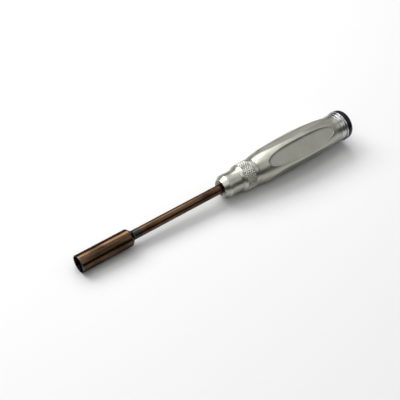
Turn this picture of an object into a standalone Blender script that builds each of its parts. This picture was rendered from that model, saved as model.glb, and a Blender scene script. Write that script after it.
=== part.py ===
"""Hex nut driver with an interchangeable blade.

A turned aluminium grip holds a knurled collet chuck at its front and a swivelling cap at its
rear. The socket blade slides into the chuck. The tool lies along X with its mouth at -X and
rests on the rim of one grip pocket. Metres, +Z up, origin under the middle of the tool.
"""

import math

import bmesh
import bpy

MM = 0.001

# Fits that several pieces share
GAP = 0.3 * MM
SLIDE_GAP = 0.2 * MM
MERGE = 0.001 * MM
ROUND_SIDES = 32
SMALL_SIDES = 20
HEX_SIDES = 6
CURVE_STEPS = 6
WAIST_STEPS = 3

# Socket
SOCKET_D = 11.1 * MM
SOCKET_LENGTH = 34.45 * MM
SOCKET_TAIL = 2.35 * MM
SOCKET_TAIL_WALL = 0.7 * MM
SOCKET_EDGE = 0.35 * MM
HEX_AF = 7.0 * MM
HEX_DEPTH = 15.0 * MM
HEX_LEAD_IN = 0.35 * MM
STUD_WELL_D = 6.4 * MM
STUD_WELL_DEPTH = 3.0 * MM
BRAZE_LENGTH = 0.7 * MM

# Shaft, from its brazed tenon to its hex shank
SHAFT_D = 5.9 * MM
SHAFT_EXPOSED = 66.5 * MM
TENON_D = 4.6 * MM
TENON_LENGTH = 14.0 * MM
SHANK_AF = 5.0 * MM
SHANK_LENGTH = 24.0 * MM
SHANK_BEVEL = 0.5 * MM

# Nose collar, front to back
COUNTERSINK_DEPTH = 1.9 * MM
LIP_THICKNESS = 0.8 * MM
RIM_WIDTH = 0.4 * MM
LIP_RISE = 0.2 * MM
COLLAR_WALL = 1.0 * MM
NOSE_BEVEL_LENGTH = 3.4 * MM
NOSE_BEVEL_DROP = 1.95 * MM
NOSE_LAND_LENGTH = 1.1 * MM
WAIST_FRONT_LENGTH = 3.9 * MM
WAIST_REAR_LENGTH = 5.0 * MM
WAIST_END_SLOPE = 0.06
FLARE_LENGTH = 1.1 * MM
FLARE_RISE = 1.6 * MM
BAND_LENGTH = 1.0 * MM
KNURL_LENGTH = 7.3 * MM
KNURL_RISE = 0.15 * MM
COLLAR_REAR_BEVEL = 0.2 * MM

# Collet and the ring that keeps it in the collar
COLLET_WALL = 0.975 * MM
COLLET_CONE_LENGTH = 6.1 * MM
COLLET_CONE_RISE = 1.15 * MM
COLLET_NOSE_RISE = 0.1 * MM
COLLET_TAIL_LENGTH = 9.7 * MM
COLLET_SLITS = 3
COLLET_SLIT_WIDTH = 0.8 * MM
COLLET_SLIT_LENGTH = 12.5 * MM
RETAINER_THICKNESS = 1.1 * MM
RETAINER_BITE = 0.4 * MM

# Chuck body and what locks it in the grip
SPIGOT_WALL = 0.95 * MM
FLANGE_THICKNESS = 1.9 * MM
FLANGE_SETBACK = 0.1 * MM
SEAL_THICKNESS = 0.6 * MM
SEAL_SETBACK = 0.4 * MM
COLLAR_RING_SECTION = 1.2 * MM
CHUCK_WEB = 2.0 * MM
DOWEL_D = 1.4 * MM
DOWEL_DEPTH = 5.0 * MM
DOWEL_WALL = 0.5 * MM
BOLT_D = 4.0 * MM
BOLT_GRIP_DEPTH = 9.5 * MM
BOLT_HEAD_D = 7.0 * MM
BOLT_HEAD_LENGTH = 4.0 * MM
BOLT_KEY_AF = 3.0 * MM
BOLT_KEY_DEPTH = 2.0 * MM
WASHER_D = 9.0 * MM
WASHER_THICKNESS = 0.8 * MM
SPRING_WASHER_D = 7.4 * MM
SPRING_WASHER_THICKNESS = 1.0 * MM
SPRING_WASHER_SPLIT = 0.6 * MM

# Grip, front to back
SHOULDER_LENGTH = 10.5 * MM
SHOULDER_RISE = 1.65 * MM
SHOULDER_START_SLOPE = 0.27
SHOULDER_END_SLOPE = 0.075
BELLY_FRONT_LENGTH = 26.3 * MM
BELLY_RISE = 1.2 * MM
BELLY_REAR_LENGTH = 29.5 * MM
GRIP_NECK_RISE = 0.32 * MM
GRIP_NECK_SLOPE = -0.18
GRIP_NECK_LENGTH = 3.65 * MM
GRIP_END_RISE = 0.05 * MM
GRIP_WEB = 4.0 * MM
REAR_BORE_D = 14.0 * MM

# Oval pockets round the grip
POCKETS = 5
POCKET_LENGTH = 55.5 * MM
POCKET_WIDTH = 11.5 * MM
POCKET_END_DEPTH = 0.35 * MM
POCKET_SETBACK = 7.3 * MM
POCKET_FULLNESS = 2.5
POCKET_OUTLINE_STEPS = 14

# End plug: a bright land with one groove, then a narrow ring
LAND_LENGTH = 3.6 * MM
LAND_RISE = 0.12 * MM
LAND_GROOVE_SETBACK = 1.6 * MM
LAND_GROOVE_WIDTH = 0.5 * MM
LAND_GROOVE_DEPTH = 0.15 * MM
RING_WIDTH = 0.9 * MM
RING_RISE = 0.75 * MM
RING_EDGE = 0.2 * MM
PLUG_LENGTH = 8.5 * MM
PLUG_RING_SECTION = 1.2 * MM
PLUG_RING_SETBACK = 3.0 * MM

# Swivel cap and its pivot
CAP_SETBACK = 0.1 * MM
CAP_CROWN = 2.8 * MM
CAP_CROWN_DROP = 1.8 * MM
CAP_WEB = 1.2 * MM
CAP_HEAD_RECESS = 0.65 * MM
PIVOT_THREAD_D = 3.0 * MM
PIVOT_THREAD_LENGTH = 9.0 * MM
PIVOT_SHOULDER_D = 3.6 * MM
PIVOT_HEAD_D = 7.2 * MM
PIVOT_HEAD_LENGTH = 1.3 * MM
PIVOT_KEY_AF = 2.0 * MM
PIVOT_KEY_DEPTH = 0.8 * MM
CAP_WASHER_D = 10.0 * MM
CAP_WASHER_THICKNESS = 0.6 * MM

# Radii, worked outwards from the shaft
shaft_r = SHAFT_D / 2
collet_bore_r = shaft_r + SLIDE_GAP
collet_tail_r = collet_bore_r + COLLET_WALL
collet_nose_r = collet_tail_r + COLLET_NOSE_RISE
collet_cone_r = collet_tail_r + COLLET_CONE_RISE
spigot_bore_r = collet_tail_r + GAP
spigot_r = spigot_bore_r + SPIGOT_WALL
collar_bore_r = spigot_r + GAP
retainer_r = collar_bore_r + RETAINER_BITE
retainer_groove_r = retainer_r + GAP
waist_r = retainer_groove_r + COLLAR_WALL
nose_r = waist_r + LIP_RISE
band_r = waist_r + FLARE_RISE
knurl_r = band_r + KNURL_RISE
flange_r = knurl_r - FLANGE_SETBACK
seal_r = flange_r - SEAL_SETBACK
grip_front_r = knurl_r
shoulder_r = grip_front_r + SHOULDER_RISE
belly_r = shoulder_r + BELLY_RISE
grip_neck_r = grip_front_r + GRIP_NECK_RISE
grip_end_r = grip_neck_r + GRIP_END_RISE
land_r = grip_end_r + LAND_RISE
ring_r = land_r + RING_RISE
cap_r = ring_r - CAP_SETBACK
shank_corner_r = SHANK_AF / math.sqrt(3)
dowel_circle_r = collar_bore_r + DOWEL_WALL + GAP + DOWEL_D / 2

# Places along the tool, measured back from the mouth
socket_end = SOCKET_LENGTH + SOCKET_TAIL
braze_front = socket_end + SLIDE_GAP
shaft_front = braze_front + BRAZE_LENGTH + SLIDE_GAP
nose_front = socket_end + SHAFT_EXPOSED
waist_front = nose_front + NOSE_BEVEL_LENGTH + NOSE_LAND_LENGTH
waist_low = waist_front + WAIST_FRONT_LENGTH
flare_front = waist_low + WAIST_REAR_LENGTH
band_front = flare_front + FLARE_LENGTH
knurl_front = band_front + BAND_LENGTH
collar_end = knurl_front + KNURL_LENGTH + COLLAR_REAR_BEVEL
collet_front = nose_front + COUNTERSINK_DEPTH + LIP_THICKNESS + GAP
collet_cone_end = collet_front + COLLET_CONE_LENGTH
collet_end = collet_cone_end + COLLET_TAIL_LENGTH
retainer_front = collet_cone_end + GAP
spigot_front = retainer_front + RETAINER_THICKNESS + GAP
collet_well_end = collet_end + GAP
shank_end = collet_end + SHANK_LENGTH
shank_bore_end = shank_end + GAP
flange_front = collar_end + GAP
flange_end = flange_front + FLANGE_THICKNESS
seal_front = flange_end + GAP
grip_front = seal_front + SEAL_THICKNESS + GAP
bolt_tip = shank_bore_end + CHUCK_WEB + GAP
stem_end = bolt_tip + BOLT_GRIP_DEPTH
web_front = stem_end + GAP
web_end = web_front + GRIP_WEB
washer_front = web_end + GAP
spring_washer_front = washer_front + WASHER_THICKNESS + GAP
bolt_head_front = spring_washer_front + SPRING_WASHER_THICKNESS + GAP
shoulder_end = grip_front + SHOULDER_LENGTH
belly_at = shoulder_end + BELLY_FRONT_LENGTH
grip_neck = belly_at + BELLY_REAR_LENGTH
grip_end = grip_neck + GRIP_NECK_LENGTH
pocket_front = grip_front + POCKET_SETBACK
pocket_end = pocket_front + POCKET_LENGTH
land_front = grip_end + GAP
ring_front = land_front + LAND_LENGTH
ring_end = ring_front + RING_WIDTH
plug_front = land_front - PLUG_LENGTH
cap_front = ring_end + GAP
cap_washer_end = cap_front + CAP_WASHER_THICKNESS
cap_web_front = cap_washer_end + GAP
pivot_head_well = cap_web_front + CAP_WEB
pivot_head_front = pivot_head_well + GAP
pivot_head_end = pivot_head_front + PIVOT_HEAD_LENGTH
tool_end = pivot_head_end + CAP_HEAD_RECESS


def hermite(start, end, start_slope, end_slope, steps=CURVE_STEPS):
    """Points of the cubic from start to end with the given slopes, without its last point."""
    (x0, r0), (x1, r1) = start, end
    run = x1 - x0
    points = []
    for step in range(steps):
        u = step / steps
        near = 2 * u**3 - 3 * u**2 + 1
        pull = (u**3 - 2 * u**2 + u) * start_slope + (u**3 - u**2) * end_slope
        points.append((x0 + u * run, near * r0 + (1 - near) * r1 + pull * run))
    return points


def grip_outline():
    """The grip's outer side from its front edge to its rear edge."""
    front = (grip_front, grip_front_r)
    shoulder = (shoulder_end, shoulder_r)
    belly = (belly_at, belly_r)
    neck = (grip_neck, grip_neck_r)
    points = hermite(front, shoulder, SHOULDER_START_SLOPE, SHOULDER_END_SLOPE)
    points += hermite(shoulder, belly, SHOULDER_END_SLOPE, 0.0)
    points += hermite(belly, neck, 0.0, GRIP_NECK_SLOPE)
    return points + [neck, (grip_end, grip_end_r)]


def grip_radius(station):
    """Radius of the uncut grip at a station."""
    points = grip_outline()
    for (x0, r0), (x1, r1) in zip(points, points[1:]):
        if x0 <= station <= x1:
            return r0 + (r1 - r0) * (station - x0) / (x1 - x0)
    return grip_end_r


def pocket_outline():
    """Oval of (station, across) points: a superellipse of the pocket's length and width."""
    centre = pocket_front + POCKET_LENGTH / 2
    points = []
    for step in range(2 * POCKET_OUTLINE_STEPS):
        angle = math.pi * step / POCKET_OUTLINE_STEPS
        along, across = math.cos(angle), math.sin(angle)
        power = 2 / POCKET_FULLNESS
        x = math.copysign(abs(along) ** power, along) * POCKET_LENGTH / 2
        y = math.copysign(abs(across) ** power, across) * POCKET_WIDTH / 2
        points.append((centre + x, y))
    return points


# The pocket's flat floor lies below both of its ends, and the tool lies on whichever reaches
# lowest: the rim of the pocket that faces down, or the ring of the end plug
pocket_floor_r = min(grip_radius(pocket_front), grip_radius(pocket_end)) - POCKET_END_DEPTH
rim_depths = [math.sqrt(grip_radius(x) ** 2 - across**2) for x, across in pocket_outline()]
axis_height = max(*rim_depths, ring_r)

# Round pieces have a flat side straight down, on which the tool lies without rolling
flat_down = math.pi / ROUND_SIDES
mouth_x = -tool_end / 2


def finish(name, colour, metallic, roughness):
    """A plain material with the part's colour and gloss."""
    material = bpy.data.materials.new(name)
    material.use_nodes = True
    shader = material.node_tree.nodes["Principled BSDF"]
    shader.inputs["Base Color"].default_value = (*colour, 1.0)
    shader.inputs["Metallic"].default_value = metallic
    shader.inputs["Roughness"].default_value = roughness
    return material


def axis_empty(name, station, parent=None):
    """An empty on the tool's axis that carries one moving group."""
    empty = bpy.data.objects.new(name, None)
    bpy.context.collection.objects.link(empty)
    empty.empty_display_size = SHAFT_D
    if parent is None:
        empty.location = (mouth_x + station, 0.0, axis_height)
    else:
        empty.parent = parent
        empty.location = (station - parent["station"], 0.0, 0.0)
    empty["station"] = station
    return empty


def place(shape, name, carrier, material=None):
    """Make an object of a finished bmesh, whose X is a station, and hang it on its carrier."""
    bmesh.ops.remove_doubles(shape, verts=shape.verts, dist=MERGE)
    bmesh.ops.dissolve_degenerate(shape, edges=shape.edges, dist=MERGE)
    bmesh.ops.recalc_face_normals(shape, faces=shape.faces)
    bmesh.ops.translate(shape, verts=shape.verts, vec=(-carrier["station"], 0.0, 0.0))
    mesh = bpy.data.meshes.new(name)
    shape.to_mesh(mesh)
    shape.free()
    mesh.shade_smooth()
    mesh.set_sharp_from_angle(angle=math.radians(30))
    piece = bpy.data.objects.new(name, mesh)
    bpy.context.collection.objects.link(piece)
    piece.parent = carrier
    if material is None:
        piece.hide_render = True
        piece.display_type = "WIRE"
    else:
        mesh.materials.append(material)
    return piece


def turn(shape, outline, sides, centre=(0.0, 0.0), phase=0.0):
    """Spin an outline of (station, radius) points once round the axis, or round a centre (y, z)."""
    y, z = centre
    solid_core = outline[0][1] == 0.0
    dy, dz = math.sin(phase), math.cos(phase)
    rim = [shape.verts.new((x, y + r * dy, z + r * dz)) for x, r in outline]
    pairs = list(zip(rim, rim[1:]))
    if not solid_core:
        pairs.append((rim[-1], rim[0]))
    edges = [shape.edges.new(pair) for pair in pairs]
    bmesh.ops.spin(
        shape, geom=rim + edges, cent=(0.0, y, z), axis=(1.0, 0.0, 0.0),
        angle=math.tau, steps=sides, use_merge=True, use_normal_flip=False,
    )


def turned(name, outline, carrier, material=None, sides=ROUND_SIDES):
    """A piece, or a cutter where it has no material, turned from one outline."""
    shape = bmesh.new()
    turn(shape, outline, sides, phase=flat_down)
    return place(shape, name, carrier, material)


def hex_cutter(name, outline, carrier):
    """A six-sided cutter with corners straight up and down, or a bar to join."""
    shape = bmesh.new()
    turn(shape, outline, HEX_SIDES)
    return place(shape, name, carrier)


def bar(front, end, radius):
    """Outline of a plain solid bar."""
    return [(front, 0.0), (front, radius), (end, radius), (end, 0.0)]


def ring(front, end, inner, outer):
    """Outline of a plain ring."""
    return [(front, outer), (end, outer), (end, inner), (front, inner)]


def round_ring(middle, section, inner):
    """Outline of a round-section ring that sits on a given inner radius."""
    steps = 10
    half = section / 2
    angles = [math.tau * step / steps for step in range(steps)]
    return [(middle + half * math.cos(a), inner + half + half * math.sin(a)) for a in angles]


def combine(piece, cutter, operation="DIFFERENCE"):
    """Cut one object with another, or join it to another."""
    boolean = piece.modifiers.new(operation.lower(), "BOOLEAN")
    boolean.operation = operation
    boolean.object = cutter
    boolean.solver = "EXACT"


def make_socket(carrier):
    """Socket barrel: turned, broached hex in front, drilled for the shaft's tenon behind."""
    radius = SOCKET_D / 2
    tenon_bore_r = TENON_D / 2 + SLIDE_GAP
    tail_r = tenon_bore_r + SOCKET_TAIL_WALL
    bore_front = socket_end - TENON_LENGTH
    outline = [
        (0.0, 0.0), (0.0, radius - SOCKET_EDGE), (SOCKET_EDGE, radius), (SOCKET_LENGTH, radius),
        (socket_end, tail_r), (socket_end, tenon_bore_r), (bore_front, tenon_bore_r), (bore_front, 0.0),
    ]
    steel = finish("browned_steel", (0.07, 0.04, 0.025), 1.0, 0.32)
    socket = turned("socket_barrel", outline, carrier, steel)
    corner_r = HEX_AF / math.sqrt(3)
    lead_r = corner_r + HEX_LEAD_IN
    hex_cut = hex_cutter("hex_cut", bar(-GAP, HEX_DEPTH, corner_r), carrier)
    well = turned("stud_well_cut", bar(GAP, HEX_DEPTH + STUD_WELL_DEPTH, STUD_WELL_D / 2), carrier)
    lead_depth = 2 * (lead_r - HEX_AF / 2)
    lead_in = [(-GAP, 0.0), (-GAP, lead_r + GAP / 2), (lead_depth, HEX_AF / 2), (lead_depth, 0.0)]
    combine(socket, hex_cut)
    combine(socket, well)
    combine(socket, turned("lead_in_cut", lead_in, carrier))


def make_shaft(carrier):
    """Shaft: a drawn rod with a tenon in front and a hex shank behind."""
    tenon_front = socket_end - TENON_LENGTH + GAP
    outline = [
        (tenon_front, 0.0), (tenon_front, TENON_D / 2), (shaft_front, TENON_D / 2),
        (shaft_front, shaft_r), (collet_end, shaft_r), (collet_end, 0.0),
    ]
    steel = finish("browned_shaft", (0.09, 0.055, 0.03), 1.0, 0.3)
    shaft = turned("shaft_rod", outline, carrier, steel)
    shank_front = collet_end - SHANK_BEVEL
    shank = [
        (shank_front, 0.0), (shank_front, shank_corner_r), (shank_end - SHANK_BEVEL, shank_corner_r),
        (shank_end, shank_corner_r - SHANK_BEVEL), (shank_end, 0.0),
    ]
    combine(shaft, hex_cutter("shank_join", shank, carrier), "UNION")


def make_braze(carrier):
    """Braze fillet: the bead of filler round the tenon between the socket's tail and the shaft."""
    bore_r = TENON_D / 2 + SLIDE_GAP
    end = braze_front + BRAZE_LENGTH
    tail_r = bore_r + SOCKET_TAIL_WALL
    outline = [(braze_front, tail_r), (end, shaft_r), (end, bore_r), (braze_front, bore_r)]
    turned("braze_fillet", outline, carrier, finish("silver_braze", (0.5, 0.48, 0.4), 1.0, 0.4))


def make_collar(carrier):
    """Nose collar: countersunk nose, waist and knurled band outside, cone and thread bore inside."""
    mouth_r = shaft_r + GAP
    rim_r = nose_r - NOSE_BEVEL_DROP
    mouth_front = nose_front + COUNTERSINK_DEPTH
    cone_front = collet_front - GAP
    cone_slope = (collet_cone_r - collet_nose_r) / COLLET_CONE_LENGTH
    cone_front_r = collet_nose_r + GAP - cone_slope * GAP
    cone_end_r = collet_cone_r + GAP
    counterbore_r = collar_bore_r + COLLAR_RING_SECTION + GAP
    counterbore_front = collar_end - COLLAR_RING_SECTION - GAP
    waist = hermite((waist_front, nose_r), (waist_low, waist_r), 0.0, 0.0, WAIST_STEPS)
    waist += hermite((waist_low, waist_r), (flare_front, nose_r), 0.0, WAIST_END_SLOPE, WAIST_STEPS)
    outline = [(nose_front, rim_r), (nose_front + NOSE_BEVEL_LENGTH, nose_r)] + waist + [
        (flare_front, nose_r), (band_front, band_r), (knurl_front, band_r), (knurl_front, knurl_r),
        (collar_end - COLLAR_REAR_BEVEL, knurl_r), (collar_end, knurl_r - COLLAR_REAR_BEVEL),
        (collar_end, counterbore_r), (counterbore_front, counterbore_r), (counterbore_front, collar_bore_r),
        (spigot_front, collar_bore_r), (spigot_front, retainer_groove_r),
        (collet_cone_end, retainer_groove_r), (collet_cone_end, cone_end_r), (cone_front, cone_front_r),
        (cone_front, mouth_r), (mouth_front, mouth_r), (nose_front, rim_r - RIM_WIDTH),
    ]
    turned("nose_collar", outline, carrier, finish("satin_aluminium", (0.5, 0.5, 0.46), 1.0, 0.35))


def make_collet(carrier):
    """Collet: a split steel sleeve whose cone is squeezed onto the shaft by the collar."""
    outline = [
        (collet_front, collet_nose_r), (collet_cone_end, collet_cone_r), (collet_cone_end, collet_tail_r),
        (collet_end, collet_tail_r), (collet_end, collet_bore_r), (collet_front, collet_bore_r),
    ]
    collet = turned("collet", outline, carrier, finish("spring_steel", (0.45, 0.45, 0.46), 1.0, 0.3))
    slits = bmesh.new()
    reach = collet_cone_r + GAP
    front = collet_front - GAP
    end = collet_front + COLLET_SLIT_LENGTH
    half = COLLET_SLIT_WIDTH / 2
    for index in range(COLLET_SLITS):
        angle = math.tau * index / COLLET_SLITS
        out = (math.sin(angle), math.cos(angle))
        side = (math.cos(angle), -math.sin(angle))
        corners = [(GAP, -half), (reach, -half), (reach, half), (GAP, half)]
        base = [
            slits.verts.new((front, a * out[0] + b * side[0], a * out[1] + b * side[1])) for a, b in corners
        ]
        grown = bmesh.ops.extrude_face_region(slits, geom=[slits.faces.new(base)])["geom"]
        tips = [item for item in grown if isinstance(item, bmesh.types.BMVert)]
        bmesh.ops.translate(slits, verts=tips, vec=(end - front, 0.0, 0.0))
    combine(collet, place(slits, "collet_slit_cut", carrier))


def make_retainer(carrier):
    """Collet retaining ring: sits in the collar's groove and draws the collet forward with it."""
    outline = ring(retainer_front, retainer_front + RETAINER_THICKNESS, collet_tail_r + GAP, retainer_r)
    steel = finish("retainer_steel", (0.4, 0.4, 0.4), 1.0, 0.35)
    turned("collet_retaining_ring", outline, carrier, steel, SMALL_SIDES)


def dowel_places():
    """Centres (y, z) of the two dowels, level with the axis on either side."""
    return {"left": (dowel_circle_r, 0.0), "right": (-dowel_circle_r, 0.0)}


def dowel_cut(name, front, end, carrier):
    """A cutter for both dowel holes."""
    shape = bmesh.new()
    for centre in dowel_places().values():
        turn(shape, bar(front, end, DOWEL_D / 2 + GAP), SMALL_SIDES, centre)
    return place(shape, name, carrier)


def make_chuck_body(carrier):
    """Chuck body: threaded spigot, flange and stem in one, with a collet well and a hex bore."""
    bolt_hole_r = BOLT_D / 2 + GAP
    bolt_hole_front = bolt_tip - GAP
    outline = [
        (spigot_front, spigot_r), (flange_front, spigot_r), (flange_front, flange_r),
        (flange_end, flange_r), (flange_end, spigot_r), (stem_end, spigot_r), (stem_end, bolt_hole_r),
        (bolt_hole_front, bolt_hole_r), (bolt_hole_front, 0.0),
    ]
    well = [(collet_well_end, 0.0), (collet_well_end, spigot_bore_r), (spigot_front, spigot_bore_r)]
    steel = finish("turned_steel", (0.48, 0.48, 0.44), 1.0, 0.3)
    body = turned("chuck_body", well + outline, carrier, steel)
    hex_r = shank_corner_r + GAP
    shank_bore = bar(collet_well_end - GAP, shank_bore_end, hex_r)
    combine(body, hex_cutter("shank_bore_cut", shank_bore, carrier))
    combine(body, dowel_cut("flange_dowel_cut", flange_front - GAP, flange_end + GAP, carrier))


def make_flange_seal(carrier):
    """Flange seal: the thin black ring that shows as a dark line in front of the grip."""
    outline = ring(seal_front, seal_front + SEAL_THICKNESS, collar_bore_r, seal_r)
    rubber = finish("seal_rubber", (0.02, 0.02, 0.02), 0.0, 0.6)
    seal = turned("flange_seal", outline, carrier, rubber)
    combine(seal, dowel_cut("seal_dowel_cut", seal_front - GAP, grip_front, carrier))


def make_dowels(carrier):
    """Dowels: two pins through the flange into the grip that carry the turning load."""
    steel = finish("dowel_steel", (0.4, 0.4, 0.42), 1.0, 0.3)
    for side, centre in dowel_places().items():
        shape = bmesh.new()
        turn(shape, bar(flange_front + GAP, grip_front + DOWEL_DEPTH - GAP, DOWEL_D / 2), SMALL_SIDES, centre)
        place(shape, f"chuck_dowel_{side}", carrier, steel)


def make_collar_o_ring(carrier):
    """Collar O-ring: sits on the spigot inside the collar's tail and stops the collar rattling."""
    middle = collar_end - COLLAR_RING_SECTION / 2
    outline = round_ring(middle, COLLAR_RING_SECTION, collar_bore_r)
    rubber = finish("ring_rubber", (0.02, 0.02, 0.02), 0.0, 0.5)
    turned("collar_o_ring", outline, carrier, rubber, SMALL_SIDES)


def make_bolt(carrier):
    """Chuck bolt: a socket-head screw through the grip's web that draws the chuck body in."""
    shank_r = BOLT_D / 2
    head_r = BOLT_HEAD_D / 2
    head_end = bolt_head_front + BOLT_HEAD_LENGTH
    outline = [
        (bolt_tip, 0.0), (bolt_tip, shank_r), (bolt_head_front, shank_r), (bolt_head_front, head_r),
        (head_end, head_r), (head_end, 0.0),
    ]
    steel = finish("black_oxide", (0.04, 0.04, 0.045), 1.0, 0.45)
    bolt = turned("chuck_bolt", outline, carrier, steel, SMALL_SIDES)
    key = bar(head_end - BOLT_KEY_DEPTH, head_end + GAP, BOLT_KEY_AF / math.sqrt(3))
    combine(bolt, hex_cutter("bolt_key_cut", key, carrier))


def make_washers(carrier):
    """Plain washer against the web and a split spring washer under the bolt's head."""
    bore_r = BOLT_D / 2 + GAP
    zinc = finish("zinc_plate", (0.55, 0.55, 0.52), 1.0, 0.35)
    plain = ring(washer_front, washer_front + WASHER_THICKNESS, bore_r, WASHER_D / 2)
    turned("bolt_plain_washer", plain, carrier, zinc, SMALL_SIDES)
    end = spring_washer_front + SPRING_WASHER_THICKNESS
    split = turned(
        "bolt_spring_washer", ring(spring_washer_front, end, bore_r, SPRING_WASHER_D / 2), carrier, zinc,
        SMALL_SIDES,
    )
    middle = (spring_washer_front + end) / 2
    gap = bmesh.new()
    bmesh.ops.create_cube(gap, size=1.0)
    size = (2 * SPRING_WASHER_THICKNESS, SPRING_WASHER_SPLIT, SPRING_WASHER_D)
    bmesh.ops.scale(gap, verts=gap.verts, vec=size)
    bmesh.ops.translate(gap, verts=gap.verts, vec=(middle, 0.0, SPRING_WASHER_D / 2))
    combine(split, place(gap, "spring_washer_split_cut", carrier))


def make_grip(carrier):
    """Grip shell: turned barrel with oval pockets, a chuck bore, a web and a rear bore."""
    stem_bore_r = collar_bore_r
    bolt_hole_r = BOLT_D / 2 + GAP
    rear_bore_r = REAR_BORE_D / 2
    inside = [
        (grip_end, rear_bore_r), (web_end, rear_bore_r), (web_end, bolt_hole_r), (web_front, bolt_hole_r),
        (web_front, stem_bore_r), (grip_front, stem_bore_r),
    ]
    aluminium = finish("grip_aluminium", (0.45, 0.45, 0.41), 1.0, 0.4)
    grip = turned("grip_shell", grip_outline() + inside, carrier, aluminium)
    pockets = bmesh.new()
    for index in range(POCKETS):
        angle = math.tau * index / POCKETS + math.pi
        out = (math.sin(angle), math.cos(angle))
        side = (math.cos(angle), -math.sin(angle))
        base = []
        for x, across in pocket_outline():
            y = pocket_floor_r * out[0] + across * side[0]
            z = pocket_floor_r * out[1] + across * side[1]
            base.append(pockets.verts.new((x, y, z)))
        grown = bmesh.ops.extrude_face_region(pockets, geom=[pockets.faces.new(base)])["geom"]
        tips = [item for item in grown if isinstance(item, bmesh.types.BMVert)]
        reach = belly_r - pocket_floor_r + GAP
        bmesh.ops.translate(pockets, verts=tips, vec=(0.0, reach * out[0], reach * out[1]))
    combine(grip, place(pockets, "pocket_cut", carrier))
    combine(grip, dowel_cut("grip_dowel_cut", grip_front - GAP, grip_front + DOWEL_DEPTH, carrier))


def make_end_plug(carrier):
    """End plug: threaded into the rear bore, with a bright grooved land and a ring behind it."""
    plug_r = REAR_BORE_D / 2 - GAP
    o_ring_seat_r = plug_r - PLUG_RING_SECTION - GAP
    seat_front = plug_front + PLUG_RING_SETBACK
    seat_end = seat_front + PLUG_RING_SECTION + 2 * GAP
    screw_hole_r = PIVOT_THREAD_D / 2 + GAP
    hole_front = cap_front - PIVOT_THREAD_LENGTH - GAP
    groove_front = land_front + LAND_GROOVE_SETBACK
    groove_middle = groove_front + LAND_GROOVE_WIDTH / 2
    outline = [
        (plug_front, 0.0), (plug_front, plug_r), (seat_front, plug_r), (seat_front, o_ring_seat_r),
        (seat_end, o_ring_seat_r), (seat_end, plug_r), (land_front, plug_r), (land_front, land_r),
        (groove_front, land_r), (groove_middle, land_r - LAND_GROOVE_DEPTH),
        (groove_front + LAND_GROOVE_WIDTH, land_r), (ring_front, land_r),
        (ring_front, ring_r - RING_EDGE), (ring_front + RING_EDGE, ring_r), (ring_end, ring_r),
        (ring_end, screw_hole_r), (hole_front, screw_hole_r), (hole_front, 0.0),
    ]
    turned("end_plug", outline, carrier, finish("bright_aluminium", (0.6, 0.6, 0.58), 1.0, 0.22))
    o_ring = round_ring((seat_front + seat_end) / 2, PLUG_RING_SECTION, o_ring_seat_r + GAP)
    rubber = finish("plug_ring_rubber", (0.02, 0.02, 0.02), 0.0, 0.5)
    turned("plug_o_ring", o_ring, carrier, rubber, SMALL_SIDES)


def make_cap(cap_carrier, grip_carrier):
    """End cap on its shoulder screw, with a slippery washer between it and the plug."""
    washer_well_r = CAP_WASHER_D / 2 + GAP
    head_r = PIVOT_HEAD_D / 2
    hole_r = PIVOT_SHOULDER_D / 2 + GAP
    crown_front = tool_end - CAP_CROWN
    crown = []
    for step in range(CURVE_STEPS + 1):
        angle = math.pi / 2 * step / CURVE_STEPS
        drop = CAP_CROWN_DROP * (1 - math.cos(angle))
        crown.append((crown_front + CAP_CROWN * math.sin(angle), cap_r - drop))
    outline = [(cap_front, cap_r)] + crown + [
        (tool_end, head_r + GAP), (pivot_head_well, head_r + GAP), (pivot_head_well, hole_r),
        (cap_web_front, hole_r), (cap_web_front, washer_well_r), (cap_front, washer_well_r),
    ]
    turned("end_cap", outline, cap_carrier, finish("black_plastic", (0.012, 0.012, 0.013), 0.0, 0.3))
    washer = ring(cap_front, cap_washer_end, hole_r, CAP_WASHER_D / 2)
    nylon = finish("white_nylon", (0.75, 0.74, 0.7), 0.0, 0.5)
    turned("cap_thrust_washer", washer, grip_carrier, nylon, SMALL_SIDES)
    tip = cap_front - PIVOT_THREAD_LENGTH
    screw = [
        (tip, 0.0), (tip, PIVOT_THREAD_D / 2), (cap_front, PIVOT_THREAD_D / 2),
        (cap_front, PIVOT_SHOULDER_D / 2), (pivot_head_front, PIVOT_SHOULDER_D / 2),
        (pivot_head_front, head_r), (pivot_head_end, head_r), (pivot_head_end, 0.0),
    ]
    steel = finish("screw_steel", (0.5, 0.5, 0.5), 1.0, 0.28)
    pivot = turned("cap_pivot_screw", screw, grip_carrier, steel, SMALL_SIDES)
    key = bar(pivot_head_end - PIVOT_KEY_DEPTH, pivot_head_end + GAP, PIVOT_KEY_AF / math.sqrt(3))
    combine(pivot, hex_cutter("pivot_key_cut", key, grip_carrier))


def build():
    """Clear the scene and put the driver together, group by group."""
    for old in list(bpy.data.objects):
        bpy.data.objects.remove(old, do_unlink=True)
    handle = axis_empty("handle_axis", grip_front)
    collet_slide = axis_empty("collet_axis", collet_front, handle)
    collar_turn = axis_empty("collar_axis", nose_front, collet_slide)
    blade_slide = axis_empty("blade_axis", socket_end, handle)
    cap_spin = axis_empty("cap_axis", cap_front, handle)
    make_grip(handle)
    make_chuck_body(handle)
    make_flange_seal(handle)
    make_dowels(handle)
    make_collar_o_ring(handle)
    make_bolt(handle)
    make_washers(handle)
    make_end_plug(handle)
    make_cap(cap_spin, handle)
    make_collet(collet_slide)
    make_collar(collar_turn)
    make_retainer(collar_turn)
    make_shaft(blade_slide)
    make_braze(blade_slide)
    make_socket(blade_slide)


build()
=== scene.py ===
"""Looks of a hex nut driver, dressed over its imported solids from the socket's mouth to the end cap.

Lengths are millimetres, along the tool from its mouth and out from its axis. dress() puts each
finished surface into the frame in metres.
"""

import math

import bmesh
import bpy
import numpy as np
from mathutils import Matrix, Vector


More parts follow.
